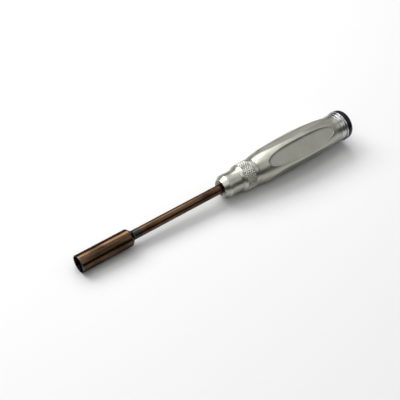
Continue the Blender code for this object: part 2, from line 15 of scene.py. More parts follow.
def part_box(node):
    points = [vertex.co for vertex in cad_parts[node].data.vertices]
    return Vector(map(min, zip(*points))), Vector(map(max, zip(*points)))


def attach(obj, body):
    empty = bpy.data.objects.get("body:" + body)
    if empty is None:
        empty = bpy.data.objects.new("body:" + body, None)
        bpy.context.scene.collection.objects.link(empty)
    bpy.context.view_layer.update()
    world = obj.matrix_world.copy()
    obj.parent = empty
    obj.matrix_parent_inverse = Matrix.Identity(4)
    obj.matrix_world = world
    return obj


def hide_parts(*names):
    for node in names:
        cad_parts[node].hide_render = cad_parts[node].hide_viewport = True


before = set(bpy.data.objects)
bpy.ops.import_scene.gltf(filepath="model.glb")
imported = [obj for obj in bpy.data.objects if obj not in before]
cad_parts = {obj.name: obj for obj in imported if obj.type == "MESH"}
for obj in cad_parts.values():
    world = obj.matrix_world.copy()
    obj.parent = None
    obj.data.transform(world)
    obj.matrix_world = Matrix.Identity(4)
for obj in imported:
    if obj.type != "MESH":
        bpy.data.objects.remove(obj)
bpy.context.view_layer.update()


# Socket barrel: hardened steel, turned with a plain taper at its tail, broached to a hex from its
# mouth, drilled deeper for the end of a stud, and coloured in a bath that leaves a streaky brown
# oxide. Its tail is bored for the shaft's tenon and brazed.

MM = 0.001
CAD_SIDES = 32
mouth_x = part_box("socket_barrel")[0].x
axis_z = (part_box("socket_barrel")[0].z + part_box("socket_barrel")[1].z) / 2


def span(node):
    """Front station, end station and outer radius of a round node.

    The solids are turned with a flat side up, so their true radius is their box's half height over
    the cosine of half a side.
    """
    low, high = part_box(node)
    radius = (high.z - axis_z) / math.cos(math.pi / CAD_SIDES)
    return (low.x - mouth_x) / MM, (high.x - mouth_x) / MM, radius / MM


EASE_STEPS = 5
EASE_REACH = 1.4
EASE_ROOM = 0.45
SAME_PLACE = 1e-4


def eased(corners):
    """Outline through (station, radius, ease) corners, as stations, radii and corner marks.

    A corner is cut back by its ease along both of its runs and bridged by the quadratic curve
    (1-s)^2 A + 2s(1-s) B + s^2 C. The mark is +1 on top of an outer corner, -1 in an inner one and
    0 along the runs.
    """
    table = np.array(corners, float)
    place, ease = table[:, :2], table[:, 2]
    run = np.diff(place, axis=0)
    length = np.linalg.norm(run, axis=1)
    toward = run / length[:, None]
    before = np.vstack([np.zeros(2), -toward])
    after = np.vstack([toward, np.zeros(2)])
    room = EASE_ROOM * np.minimum(np.append(np.inf, length), np.append(length, np.inf))
    cut = np.minimum(ease, room / EASE_REACH)[:, None]
    s = np.linspace(0, 1, EASE_STEPS + 1)
    share = s[None, :, None]
    start = (place + cut * before)[:, None]
    end = (place + cut * after)[:, None]
    curve = (1 - share) ** 2 * start + 2 * share * (1 - share) * place[:, None] + share**2 * end
    lead = place + EASE_REACH * cut * before
    tail = place + EASE_REACH * cut * after
    points = np.concatenate([lead[:, None], curve, tail[:, None]], axis=1).reshape(-1, 2)
    bend = before[:, 0] * after[:, 1] - before[:, 1] * after[:, 0]
    hump = np.concatenate([[0.0], 4 * s * (1 - s), [0.0]])
    marks = (np.clip(2 * bend, -1, 1)[:, None] * hump).ravel()
    fresh = np.append(True, np.linalg.norm(np.diff(points, axis=0), axis=1) > SAME_PLACE)
    return points[fresh, 0], points[fresh, 1], marks[fresh]


TURNED_SIDES = 96


def carried(station, radius, corner=0.0, zone=0.0, sides=TURNED_SIDES, closed=False, angles=None):
    """Turned grid: every (station, radius) of an outline carried round the axis, angle 0 straight up.

    Each value is one number, one per outline point, or a whole (outline, angle) array.
    """
    if angles is None:
        angles = np.arange(sides) * math.tau / sides
    given = (station, radius, corner, zone)
    values = [np.reshape(v, (-1, 1)) if np.ndim(v) == 1 else v for v in given]
    station, radius, corner, zone, angles = np.broadcast_arrays(*values, np.atleast_2d(angles))
    points = np.stack([station, radius * np.sin(angles), radius * np.cos(angles)], axis=-1)
    return points, corner, zone, closed


def joined(*grids, closed=False):
    """Turned grids of the same angles, laid end to end as one."""
    points, corner, zone, _ = zip(*grids)
    return np.concatenate(points), np.concatenate(corner), np.concatenate(zone), closed


WELD = 0.0005
SHARP_ANGLE = 38


def dress(name, patches, finish, body, node):
    """One closed piece of several grids, each wrapped round and, where closed, along its outline too."""
    points, faces, marks, count = [], [], [], 0
    for grid, corner, zone, closed in patches:
        rows, columns = corner.shape
        index = count + np.arange(rows * columns).reshape(rows, columns)
        ahead = np.roll(index, -1, axis=0)
        beside = np.roll(index, -1, axis=1)
        quads = np.stack([index, beside, np.roll(ahead, -1, axis=1), ahead], axis=-1)
        faces.append(quads[: rows if closed else rows - 1].reshape(-1, 4))
        points.append(grid.reshape(-1, 3))
        marks.append(np.stack([corner.ravel(), zone.ravel()]))
        count += rows * columns
    points = np.concatenate(points) * MM + np.array([mouth_x, 0.0, axis_z])
    faces = np.concatenate(faces)
    marks = np.concatenate(marks, axis=1)
    mesh = bpy.data.meshes.new(name)
    mesh.vertices.add(len(points))
    mesh.vertices.foreach_set("co", points.astype(np.float32).ravel())
    mesh.loops.add(faces.size)
    mesh.loops.foreach_set("vertex_index", faces.astype(np.int32).ravel())
    mesh.polygons.add(len(faces))
    mesh.polygons.foreach_set("loop_start", np.arange(0, faces.size, 4, dtype=np.int32))
    mesh.update(calc_edges=True)
    for label, values in zip(("corner", "zone"), marks):
        layer = mesh.attributes.new(label, "FLOAT", "POINT")
        layer.data.foreach_set("value", values.astype(np.float32))
    shape = bmesh.new()
    shape.from_mesh(mesh)
    bmesh.ops.remove_doubles(shape, verts=shape.verts, dist=WELD * MM)
    bmesh.ops.recalc_face_normals(shape, faces=shape.faces)
    shape.to_mesh(mesh)
    shape.free()
    mesh.shade_smooth()
    mesh.set_sharp_from_angle(angle=math.radians(SHARP_ANGLE))
    mesh.materials.append(finish)
    piece = bpy.data.objects.new(name, mesh)
    bpy.context.scene.collection.objects.link(piece)
    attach(piece, body)
    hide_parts(node)


def put(tree, kind, sockets=None, **settings):
    """Add one node, choose its settings, then link or fill its inputs."""
    node = tree.nodes.new(kind)
    for option, value in settings.items():
        setattr(node, option, value)
    for label, value in (sockets or {}).items():
        if isinstance(value, bpy.types.NodeSocket):
            tree.links.new(value, node.inputs[label])
        else:
            node.inputs[label].default_value = value
    return node


def sums(tree, operation, first, second):
    """Result of one piece of arithmetic on two values."""
    return put(tree, "ShaderNodeMath", {0: first, 1: second}, operation=operation).outputs[0]


def between(tree, value, low, high, new_low=0.0, new_high=1.0):
    """A value's rise from low to high, eased at both ends, as a rise from new_low to new_high."""
    limits = {"Value": value, "From Min": low, "From Max": high, "To Min": new_low, "To Max": new_high}
    return put(tree, "ShaderNodeMapRange", limits, interpolation_type="SMOOTHSTEP").outputs["Result"]


def blended(tree, share, first, second):
    """Colour that goes from the first to the second with a share from 0 to 1."""
    node = put(tree, "ShaderNodeMix", data_type="RGBA")
    sockets = {socket.identifier: socket for socket in node.inputs}
    for name, value in (("Factor_Float", share), ("A_Color", first), ("B_Color", second)):
        if isinstance(value, bpy.types.NodeSocket):
            tree.links.new(value, sockets[name])
        else:
            sockets[name].default_value = (*value, 1.0)
    return next(socket for socket in node.outputs if socket.identifier == "Result_Color")


def noise(tree, spots, detail=2.0, stretch=(1.0, 1.0, 1.0)):
    """Soft noise from 0 to 1 on the piece's own coordinates, with so many spots to the metre."""
    place = put(tree, "ShaderNodeTexCoord").outputs["Object"]
    place = put(tree, "ShaderNodeMapping", {"Vector": place, "Scale": stretch}).outputs["Vector"]
    sockets = {"Vector": place, "Scale": spots, "Detail": detail}
    return put(tree, "ShaderNodeTexNoise", sockets).outputs["Fac"]


def mark(tree, label):
    """A value that dress() stored on the surface."""
    return put(tree, "ShaderNodeAttribute", attribute_name=label).outputs["Fac"]


def effect(name, inputs, outputs):
    """An empty shader group with numbers in and values out, and the sockets of its two ends."""
    tree = bpy.data.node_groups.new(name, "ShaderNodeTree")
    for label, value in inputs.items():
        socket = tree.interface.new_socket(label, in_out="INPUT", socket_type="NodeSocketFloat")
        socket.default_value = value
    for label in outputs:
        tree.interface.new_socket(label, in_out="OUTPUT", socket_type="NodeSocketFloat")
    return tree, tree.nodes.new("NodeGroupInput").outputs, tree.nodes.new("NodeGroupOutput").inputs


def placed(tree, group, **values):
    """Outputs of a shader group put into a material with its own values."""
    node = put(tree, "ShaderNodeGroup", node_tree=group)
    for label, value in values.items():
        node.inputs[label].default_value = value
    return node.outputs


WEAR_SPOTS = 1400.0
WEAR_LIFT = 0.4
WORN_RANGE = (0.3, 0.85)
PAINTED_SHADE_RANGE = (0.1, 0.8)
SMUDGE_SPOTS = 110.0
SMUDGE_RANGE = (0.35, 0.7)
FLECK_SPOTS = 5200.0
STREAK_SPOTS = 900.0
STREAK_STRETCH = (0.05, 1.0, 1.0)
STREAK_RANGE = (0.3, 0.72)
PATCH_SPOTS = 170.0
PATCH_STRETCH = (0.5, 1.0, 1.0)
PATCH_RANGE = (0.33, 0.68)


def corner_wear_and_shade_effect():
    """Worn follows the outer corners; the other output is painted shade in the inner ones. Both are broken
    up by noise.
    """
    tree, given, result = effect("corner_wear_and_shade", {"Spots": WEAR_SPOTS}, ["Worn", "PaintedShade"])
    ragged = sums(tree, "ADD", noise(tree, given["Spots"], detail=3.0), WEAR_LIFT)
    rubbed = sums(tree, "MULTIPLY", ragged, mark(tree, "corner"))
    # Painted shade: the negated corner mark darkens inner corners.
    painted_shade = sums(tree, "MULTIPLY", rubbed, -1.0)
    tree.links.new(between(tree, rubbed, *WORN_RANGE), result["Worn"])
    tree.links.new(between(tree, painted_shade, *PAINTED_SHADE_RANGE), result["PaintedShade"])
    return tree


def handling_effect():
    """Smudge is the soft clouding that hands leave, Fleck the fine grain under it."""
    tree, given, result = effect("handling", {"Spots": SMUDGE_SPOTS}, ["Smudge", "Fleck"])
    clouds = noise(tree, given["Spots"], detail=4.0)
    tree.links.new(between(tree, clouds, *SMUDGE_RANGE), result["Smudge"])
    tree.links.new(noise(tree, FLECK_SPOTS, detail=1.0), result["Fleck"])
    return tree


def along_grain_effect():
    """Streak is noise drawn out along the tool, as a drawing die or a polishing belt leaves it."""
    tree, given, result = effect("along_grain", {"Spots": STREAK_SPOTS}, ["Streak", "Patch"])
    fine = noise(tree, given["Spots"], detail=3.0, stretch=STREAK_STRETCH)
    broad = noise(tree, PATCH_SPOTS, detail=3.0, stretch=PATCH_STRETCH)
    tree.links.new(between(tree, fine, *STREAK_RANGE), result["Streak"])
    tree.links.new(between(tree, broad, *PATCH_RANGE), result["Patch"])
    return tree


corner_wear_and_shade = corner_wear_and_shade_effect()
handling = handling_effect()
along_grain = along_grain_effect()

BUMP_STRENGTH = 0.6


def shaded(name, colour, roughness, height, depth, metallic=1.0, film=None, **constants):
    """A material whose colour, roughness, height and clear film are put into its tree by makers."""
    material = bpy.data.materials.new(name)
    material.use_nodes = True
    tree = material.node_tree
    shader = tree.nodes["Principled BSDF"]
    shader.inputs["Metallic"].default_value = metallic
    for label, value in constants.items():
        shader.inputs[label.replace("_", " ")].default_value = value
    tree.links.new(colour(tree), shader.inputs["Base Color"])
    tree.links.new(roughness(tree), shader.inputs["Roughness"])
    if film:
        tree.links.new(film(tree), shader.inputs["Coat Weight"])
    relief = {"Height": height(tree), "Distance": depth * MM, "Strength": BUMP_STRENGTH}
    bump = put(tree, "ShaderNodeBump", relief)
    tree.links.new(bump.outputs["Normal"], shader.inputs["Normal"])
    return material


OXIDE_DARK = (0.0126, 0.0055, 0.0021)
OXIDE_BROWN = (0.069, 0.032, 0.011)
OXIDE_TAN = (0.149, 0.085, 0.041)
OXIDE_STREAKS = 0.55
OXIDE_ROUGHNESS = (0.26, 0.17)
OXIDE_RIM = (0.25, 0.2, 0.16, 1.0)
BARE_STEEL = (0.115, 0.078, 0.052)
MOUTH_GREY = (0.086, 0.086, 0.086)
# Painted shade: the hex recess, the well and the lead-in cone are coloured near black for the shade inside
# them.
RECESS_PAINTED_SHADE = (0.004, 0.004, 0.004)
# Zone marks rise from 0 on the browned outside.
MOUTH_ZONE = 0.5
INSIDE_ZONE = 1.0
SCRATCH_SPOTS = 2600.0
SCRATCH_DEPTH = 0.01
OIL_FILM = (0.18, 0.3)
OIL_ROUGHNESS = 0.16


def oxide_colour(tree):
    """Brown oxide in dark and tan streaks, thin on rubbed corners, grey at the mouth, and near black
    inside as painted shade.
    """
    grain = placed(tree, along_grain)
    brown = blended(tree, grain["Patch"], OXIDE_DARK, OXIDE_BROWN)
    streaked = blended(tree, sums(tree, "MULTIPLY", grain["Streak"], OXIDE_STREAKS), brown, OXIDE_TAN)
    rubbed = blended(tree, placed(tree, corner_wear_and_shade)["Worn"], streaked, BARE_STEEL)
    faced = blended(tree, between(tree, mark(tree, "zone"), 0.0, MOUTH_ZONE), rubbed, MOUTH_GREY)
    inside = between(tree, mark(tree, "zone"), MOUTH_ZONE, INSIDE_ZONE)
    return blended(tree, inside, faced, RECESS_PAINTED_SHADE)


def oxide_roughness(tree):
    """Smoother where the oxide is thin."""
    return between(tree, placed(tree, along_grain)["Streak"], 0.0, 1.0, *OXIDE_ROUGHNESS)


def oxide_height(tree):
    """Fine lengthwise scratches."""
    return placed(tree, along_grain, Spots=SCRATCH_SPOTS)["Streak"]


def oil_film(tree):
    """A thin film of oil over the outside, thicker in patches."""
    patchy = between(tree, placed(tree, along_grain)["Patch"], 0.0, 1.0, *OIL_FILM)
    outside = between(tree, mark(tree, "zone"), 0.0, MOUTH_ZONE, 1.0, 0.0)
    return sums(tree, "MULTIPLY", patchy, outside)


def browned(name, colour):
    """The brown finish with a colour of its own."""
    return shaded(
        name, colour, oxide_roughness, oxide_height, SCRATCH_DEPTH, film=oil_film,
        Coat_Roughness=OIL_ROUGHNESS, Specular_Tint=OXIDE_RIM,
    )


browned_steel = browned("browned_steel", oxide_colour)

SOCKET_TAIL = 2.35
TAIL_R = 3.2
TAIL_EDGE = 0.12
TENON_BORE_R = 2.5
TENON_BORE_DEPTH = 14.0
MOUTH_EDGE = 0.35
MOUTH_BARE = 0.9
BARE_FADE = 0.3
MOUTH_LIP = 0.08
HEX_AF = 7.0
HEX_DEPTH = 15.0
HEX_LAP = 0.02
HEX_LOOPS = (0.0, 0.01, 0.5, 0.97, 1.0)
LEAD_IN = 0.35
LEAD_SLOPE = 0.5
LEAD_LOOPS = (0.05, 0.5, 1.0)
STUD_WELL_R = 3.2
STUD_WELL_DEPTH = 3.0
DRILL_POINT = 1.9
SOCKET_SIDES = 192
# Usual eases of corners: broken with a file, or softened.
BROKEN = 0.1
SOFT = 0.2


def hexagon(across_flats, sides=TURNED_SIDES):
    """Radius of a hexagon with a corner up: its inner radius over the cosine from the nearest flat."""
    sixth = math.tau / 6
    angle = np.arange(sides) * math.tau / sides
    return across_flats / 2 / np.cos(angle % sixth - sixth / 2)


def socket_barrel():
    """Outline from the drill point out through well, hex and lead-in, then back over the outside.

    The lead-in cone r = R - slope x meets each flat at its own station x = (R - r) / slope.
    """
    front, end, outer = span("socket_barrel")
    recess = hexagon(HEX_AF, SOCKET_SIDES)
    lead_r = recess.max() + LEAD_IN
    well_end = HEX_DEPTH + STUD_WELL_DEPTH
    well_x, well_r, _ = eased([
        (well_end + DRILL_POINT, 0, 0), (well_end, STUD_WELL_R, SOFT), (HEX_DEPTH, STUD_WELL_R, BROKEN),
        (HEX_DEPTH, recess.min() - HEX_LAP, 0),
    ])
    meeting = (lead_r - recess) / LEAD_SLOPE
    wall_x = HEX_DEPTH + (meeting - HEX_DEPTH) * np.array(HEX_LOOPS)[:, None]
    lead_x = meeting + (MOUTH_EDGE - meeting) * np.array(LEAD_LOOPS)[:, None]
    bare_end = front + MOUTH_BARE
    bore_end = end - TENON_BORE_DEPTH
    outside = eased([
        (MOUTH_EDGE, lead_r - LEAD_SLOPE * MOUTH_EDGE, 0), (front, lead_r, MOUTH_LIP),
        (front, outer - MOUTH_EDGE, BROKEN), (front + MOUTH_EDGE, outer, SOFT),
        (bare_end, outer, 0), (bare_end + BARE_FADE, outer, 0), (end - SOCKET_TAIL, outer, SOFT),
        (end, TAIL_R, TAIL_EDGE), (end, TENON_BORE_R, BROKEN), (bore_end, TENON_BORE_R, BROKEN),
        (bore_end, 0, 0),
    ])
    zone = np.where(outside[0] < bare_end + BARE_FADE / 2, MOUTH_ZONE, 0.0)
    # The first two points still lie on the lead-in cone, so they take the recess's painted shade too.
    zone[:2] = INSIDE_ZONE
    grid = joined(
        carried(well_x, well_r, zone=INSIDE_ZONE, sides=SOCKET_SIDES),
        carried(wall_x, recess[None, :], zone=INSIDE_ZONE, sides=SOCKET_SIDES),
        carried(lead_x, lead_r - LEAD_SLOPE * lead_x, zone=INSIDE_ZONE, sides=SOCKET_SIDES),
        carried(*outside, zone, SOCKET_SIDES),
    )
    dress("socket", [grid], browned_steel, "blade", "socket_barrel")


socket_barrel()


# Shaft: drawn steel rod with the same brown finish. A turned tenon goes into the socket, and the rear
# end is milled to a hex that drives in the chuck. Brazing has left a grey-green band next to the socket.

HEAT_BAND = 4.6
HEAT_FADE = 3.6
HEAT_WANDER = 2.4
HEAT_SPOTS = 420.0
HEAT_DARK = (0.0115, 0.0126, 0.0103)
HEAT_GREY = (0.0391, 0.0414, 0.0333)
TENON_R = 2.3
TENON_EDGE = 0.25
ROD_SINK = 0.2
SHANK_AF = 5.0
SHANK_LENGTH = 24.0
SHANK_BEVEL = 0.5
EDGE_LOOP = 0.1
BLUNT = 0.15
braze_end = span("braze_fillet")[1]


def heated_colour(tree):
    """The brown oxide, gone grey over the first few millimetres behind the braze."""
    place = put(tree, "ShaderNodeTexCoord").outputs["Object"]
    along = put(tree, "ShaderNodeSeparateXYZ", {"Vector": place}).outputs["X"]
    wander = sums(tree, "MULTIPLY", noise(tree, HEAT_SPOTS), HEAT_WANDER * MM)
    edge = mouth_x + (braze_end + HEAT_BAND) * MM
    band = between(tree, sums(tree, "ADD", along, wander), edge, edge + HEAT_FADE * MM)
    greyed = blended(tree, placed(tree, along_grain)["Streak"], HEAT_DARK, HEAT_GREY)
    return blended(tree, band, greyed, oxide_colour(tree))


def shaft_rod():
    """Outline of tenon and rod carried round, then the hex shank with the bevel at its end."""
    front, end, outer = span("shaft_rod")
    shank = hexagon(SHANK_AF)
    rod_front = braze_end + ROD_SINK
    shank_front = end - SHANK_LENGTH
    bevel = end - SHANK_BEVEL
    rod = eased([
        (front, 0, 0), (front, TENON_R, TENON_EDGE), (rod_front, TENON_R, BROKEN),
        (rod_front, outer, BROKEN), (shank_front, outer, BLUNT), (shank_front, shank.max() - HEX_LAP, 0),
    ])
    shank_x = np.array([shank_front, shank_front + EDGE_LOOP, bevel - EDGE_LOOP, bevel, end, end])
    drop = np.array([0, 0, 0, 0, SHANK_BEVEL, SHANK_AF])[:, None]
    grid = joined(carried(*rod), carried(shank_x, np.maximum(shank[None, :] - drop, 0)))
    finish = browned("heated_shaft", heated_colour)
    dress("shaft", [grid], finish, "blade", "shaft_rod")


shaft_rod()


# Braze fillet: the bead of pale filler drawn into the corner between the socket's tail and the shaft,
# dulled by the brown bath.

BRAZE_SAG = 0.1
BRAZE_REACH = 0.25
BRAZE_CLEAR = 0.1
BRAZE_POINTS = 13
BRAZE_DULL = (0.0276, 0.0218, 0.0161)
BRAZE_PALE = (0.086, 0.071, 0.051)
BRAZE_CLOUDS = 600.0
BRAZE_GRAIN = 2500.0
BRAZE_DEPTH = 0.02
ROUGH_SPOTS = 900.0
ROUGH_RANGE = (0.4, 0.6)


def clouded(spots, first, second):
    """Maker of a colour that goes from the first to the second in soft clouds."""
    return lambda tree: blended(tree, placed(tree, handling, Spots=spots)["Smudge"], first, second)


def dulled(spots, least, most):
    """Maker of a roughness that goes from the least to the most in soft clouds."""
    return lambda tree: between(tree, placed(tree, handling, Spots=spots)["Smudge"], 0, 1, least, most)


def braze_height(tree):
    """The grain of a frozen surface."""
    return noise(tree, BRAZE_GRAIN, detail=3.0)


def braze_fillet():
    """A straight run from tail to shaft, sagging in the middle by a sine, closed round the tenon."""
    front, end, _ = span("braze_fillet")
    shaft_r = span("shaft_rod")[2]
    s = np.linspace(0, 1, BRAZE_POINTS)
    station = front - BRAZE_REACH + (end - front + 2 * BRAZE_REACH) * s
    radius = TAIL_R + (shaft_r - TAIL_R) * s - BRAZE_SAG * np.sin(math.pi * s)
    station = np.append(station, [end + BRAZE_REACH, front - BRAZE_REACH])
    radius = np.append(radius, [TENON_R + BRAZE_CLEAR, TENON_R + BRAZE_CLEAR])
    finish = shaded(
        "silver_braze", clouded(BRAZE_CLOUDS, BRAZE_DULL, BRAZE_PALE), dulled(ROUGH_SPOTS, *ROUGH_RANGE),
        braze_height, BRAZE_DEPTH, Specular_Tint=OXIDE_RIM,
    )
    dress("braze_bead", [carried(station, radius, closed=True)], finish, "blade", "braze_fillet")


braze_fillet()


# Nose collar: turned aluminium with a satin finish and an olive tint. Outside it has a countersunk mouth,
# a bevelled nose, a waist, a flare and a diamond-knurled band; inside a cone, a ring groove and a thread
# bore, by which it screws on to the chuck.

SATIN_GREY = (0.374, 0.376, 0.322)
SATIN_PALE = (0.437, 0.439, 0.386)
SATIN_WORN = (0.632, 0.632, 0.598)
SATIN_PAINTED_SHADE = (0.08, 0.078, 0.063)
SATIN_RIM = (0.75, 0.75, 0.75, 1.0)
SATIN_ROUGHNESS = (0.29, 0.35)
TURNING_ROUGHNESS = 0.06
MILLED_ROUGHNESS = 0.06
TURNING_SPOTS = 6500.0
TURNING_STRETCH = (1.0, 0.006, 0.006)
BAND_SPOTS = 900.0
BAND_STRETCH = (1.0, 0.03, 0.03)
TURNED_DEPTH = 0.006


def turning_effect():
    """Line is fine rings round the axis, Band the slower change between them, as a lathe leaves them."""
    tree, given, result = effect("turning_rings", {"Rings": TURNING_SPOTS}, ["Line", "Band"])
    tree.links.new(noise(tree, given["Rings"], stretch=TURNING_STRETCH), result["Line"])
    tree.links.new(noise(tree, BAND_SPOTS, stretch=BAND_STRETCH), result["Band"])
    return tree


turning_rings = turning_effect()


def satin_colour(grey):
    """Maker of a grey metal, clouded by handling, bright on rubbed corners and darkened in inner ones as
    painted shade.
    """
    def colour(tree):
        clouds = blended(tree, placed(tree, handling)["Smudge"], grey, SATIN_PALE)
        wear_and_shade = placed(tree, corner_wear_and_shade)
        # Painted shade: inner corners and pocket coves go towards a dark olive.
        painted_shade = blended(tree, wear_and_shade["PaintedShade"], clouds, SATIN_PAINTED_SHADE)
        return blended(tree, wear_and_shade["Worn"], painted_shade, SATIN_WORN)
    return colour


def satin_roughness(tree):
    """Satin, a little duller in clouds and from ring to ring, and dullest on milled floors."""
    base = between(tree, placed(tree, handling)["Smudge"], 0, 1, *SATIN_ROUGHNESS)
    rings = sums(tree, "MULTIPLY", placed(tree, turning_rings)["Band"], TURNING_ROUGHNESS)
    ringed = sums(tree, "ADD", base, rings)
    return sums(tree, "ADD", ringed, sums(tree, "MULTIPLY", mark(tree, "zone"), MILLED_ROUGHNESS))


def satin_height(tree):
    """Fine turning rings under an etched grain."""
    return sums(tree, "ADD", placed(tree, turning_rings)["Line"], placed(tree, handling)["Fleck"])


satin_aluminium = shaded(
    "satin_aluminium", satin_colour(SATIN_GREY), satin_roughness, satin_height, TURNED_DEPTH,
    Specular_Tint=SATIN_RIM,
)

COUNTERSINK = 1.9
NOSE_LIP = 0.8
RIM_WIDTH = 0.4
NOSE_BEVEL = 3.4
NOSE_BEVEL_DROP = 1.95
NOSE_LAND = 1.1
WAIST_FRONT = 3.9
WAIST_REAR = 4.0
WAIST_DROP = 0.2
WAIST_POINTS = 9
FLARE = 1.6
FLARE_RISE = 1.6
FLARE_FOOT = 0.4
FLARE_ROUND = 1.2
FLARE_ROUND_RISE = 0.3
FLARE_EDGE = 0.38
KNURL_RISE = 0.15
KNURL_PITCH = 1.65
KNURL_STARTS = 34
KNURL_STEPS = 10
KNURL_SIDES = KNURL_STARTS * KNURL_STEPS
KNURL_DEPTH = 0.34
KNURL_TOP = 0.38
KNURL_WEAR = 0.8
KNURL_PAINTED_SHADE = 0.75
KNURL_LENGTH = 7.3
KNURL_RUN_OUT = 0.35
COLLAR_BEVEL = 0.2
SHAFT_GAP = 0.3
COUNTERBORE_R = 7.175
COUNTERBORE_DEPTH = 1.5
THREAD_BORE_R = 5.675
RING_GROOVE_R = 6.375
CONE_END_R = 5.575
CONE_FRONT_R = 4.48
CRISP = 0.05
ROUND = 0.3


def knurl(front, outer, band_r):
    """Diamond knurl of two families of grooves, where x/pitch +- starts a/turn is a whole number.

    The height rises from each groove to a flat top, as the smaller of the distances to the nearest
    groove of either family, and both ends run out to the plain band.
    """
    rows = round(KNURL_LENGTH / KNURL_PITCH * KNURL_STEPS)
    along = np.linspace(0, KNURL_LENGTH, rows + 1)[:, None]
    around = KNURL_STARTS * np.arange(KNURL_SIDES)[None, :] / KNURL_SIDES
    to_groove = [np.abs((along / KNURL_PITCH + way * around + 0.5) % 1 - 0.5) for way in (1, -1)]
    height = np.clip(np.minimum(*to_groove) / KNURL_TOP, 0, 1)
    cut = np.clip(np.minimum(along, KNURL_LENGTH - along) / KNURL_RUN_OUT, 0, 1)
    radius = band_r + cut * (outer - KNURL_DEPTH * (1 - height) - band_r)
    # Tops are marked as worn; grooves are marked for painted shade, which darkens them.
    rubbed = cut * (height * (KNURL_WEAR + KNURL_PAINTED_SHADE) - KNURL_PAINTED_SHADE)
    return carried(front + along, radius, rubbed, sides=KNURL_SIDES)


def nose_collar():
    """The outline in front of the knurl, the knurl's grid, and the outline behind it and back inside.

    The waist falls by the smooth step 3s^2 - 2s^3 and rises by s^2. The flare is a cone that rounds over
    to the knurl.
    """
    front, end, outer = span("nose_collar")
    band_r = outer - KNURL_RISE
    nose_r = band_r - FLARE_RISE + WAIST_DROP
    waist_r = nose_r - WAIST_DROP
    rim_r = nose_r - NOSE_BEVEL_DROP
    mouth_r = span("shaft_rod")[2] + SHAFT_GAP
    knurl_front = end - COLLAR_BEVEL - KNURL_LENGTH
    flare_end = knurl_front - FLARE_ROUND
    flare_front = flare_end - FLARE
    waist_front = front + NOSE_BEVEL + NOSE_LAND
    sink = front + COUNTERSINK
    s = np.linspace(0, 1, WAIST_POINTS)
    dip = s**2 * (3 - 2 * s)
    nose = [
        (sink + NOSE_LIP / 2, mouth_r, 0), (sink, mouth_r, BROKEN), (front, rim_r - RIM_WIDTH, BROKEN),
        (front, rim_r, BLUNT), (front + NOSE_BEVEL, nose_r, ROUND),
    ]
    fall = [(waist_front + WAIST_FRONT * u, nose_r - WAIST_DROP * d, 0) for u, d in zip(s, dip)]
    rise = [(flare_front - WAIST_REAR * (1 - u), waist_r + WAIST_DROP * u**2, 0) for u in s[1:-1]]
    flare = [
        (flare_front, nose_r, FLARE_FOOT), (flare_end, band_r - FLARE_ROUND_RISE, FLARE_EDGE),
        (knurl_front, band_r, BROKEN),
    ]
    ring_front, ring_end, _ = span("collet_retaining_ring")
    groove_front = ring_front - SHAFT_GAP
    groove_end = ring_end + SHAFT_GAP
    counterbore = end - COUNTERBORE_DEPTH
    cone_front = sink + NOSE_LIP
    tail = [
        (end - COLLAR_BEVEL, band_r, 0), (end, band_r - COLLAR_BEVEL, BROKEN),
        (end, COUNTERBORE_R, BROKEN), (counterbore, COUNTERBORE_R, 0), (counterbore, THREAD_BORE_R, 0),
        (groove_end, THREAD_BORE_R, 0), (groove_end, RING_GROOVE_R, 0), (groove_front, RING_GROOVE_R, 0),
        (groove_front, CONE_END_R, 0), (cone_front, CONE_FRONT_R, 0), (cone_front, mouth_r, CRISP),
    ]
    grid = joined(
        carried(*eased(nose + fall + rise + flare), sides=KNURL_SIDES), knurl(knurl_front, outer, band_r),
        carried(*eased(tail), sides=KNURL_SIDES), closed=True,
    )
    dress("collar", [grid], satin_aluminium, "collar", "nose_collar")


nose_collar()


# Collet and its retaining ring: hardened spring steel inside the collar, ground bright. The solids are
# kept, because only the collet's rim can be glimpsed past the shaft.

STEEL_GREY = (0.42, 0.42, 0.41)
STEEL_PALE = (0.56, 0.56, 0.55)
STEEL_BANDS = (0.2, 0.8)
STEEL_ROUGHNESS = (0.2, 0.34)


def steel_colour(tree):
    """Bright steel with faint rings and clouds, and painted shade in inner corners."""
    rings = sums(tree, "MULTIPLY", placed(tree, turning_rings)["Band"], placed(tree, handling)["Smudge"])
    pale = blended(tree, rings, STEEL_PALE, STEEL_GREY)
    return blended(tree, placed(tree, corner_wear_and_shade)["PaintedShade"], pale, SATIN_PAINTED_SHADE)


def steel_roughness(tree):
    """Turned bright."""
    return between(tree, placed(tree, turning_rings)["Band"], *STEEL_BANDS, *STEEL_ROUGHNESS)


def ring_height(tree):
    """Turning rings alone."""
    return placed(tree, turning_rings)["Line"]


def coat(finish, *nodes):
    """Give kept solids their finish."""
    for node in nodes:
        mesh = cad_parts[node].data
        mesh.materials.clear()
        mesh.materials.append(finish)


bright_steel = shaded("bright_steel", steel_colour, steel_roughness, ring_height, TURNED_DEPTH)
coat(bright_steel, "collet", "collet_retaining_ring")


# Chuck body: one turned steel piece. Its spigot carries the collar's thread and its flange shows as the
# smooth band behind the knurl; its stem goes into the grip. Two dowels keep it from turning.

FLANGE_GREY = (0.391, 0.391, 0.339)
SPIGOT_R = 5.375
SPIGOT_BEVEL = 0.3
COLLET_WELL_R = 4.425
SHANK_BORE_AF = 5.52
BOLT_HOLE_R = 2.3
THREAD_PITCH = 1.0
THREAD_DEPTH = 0.35
THREAD_STEPS = 10
THREAD_LEAD = 0.5
THREAD_FADE = 0.6
THREAD_RUN_OUT = 3.0
CHUCK_SIDES = 120
SEAL_NIP = 0.19
COLLAR_CLEAR = 0.1


